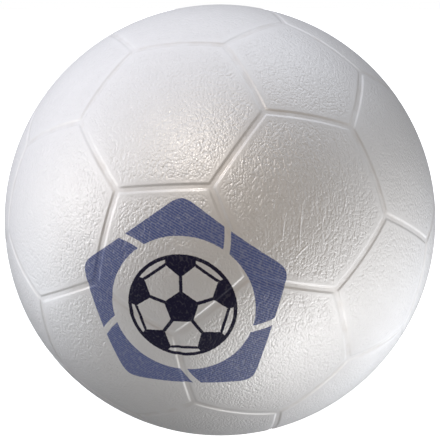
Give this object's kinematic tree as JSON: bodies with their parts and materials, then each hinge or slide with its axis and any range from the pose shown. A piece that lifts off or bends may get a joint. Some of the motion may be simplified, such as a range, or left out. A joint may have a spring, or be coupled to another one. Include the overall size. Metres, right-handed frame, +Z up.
{
  "type": "indoor football",
  "caption": "Round hollow moulded ball for indoor football, with pentagon and hexagon panels pressed into its cover and a plug valve for inflation.",
  "frame": {"origin": "the point on the floor straight under the ball's centre, where the ball touches it", "axes": "+Z up, -Y towards the printed panel and the picture's camera, +X to the camera's right"},
  "size_m": [0.2098, 0.21, 0.2099],
  "materials": {
    "cover_vinyl": "pearly off-white soft vinyl, semi-gloss, with a moulded leather grain",
    "valve_rubber": "matte black"
  },
  "bodies": {
    "root": {"cover": "cover_vinyl", "valve": "valve_rubber"}
  },
  "joints": []
}
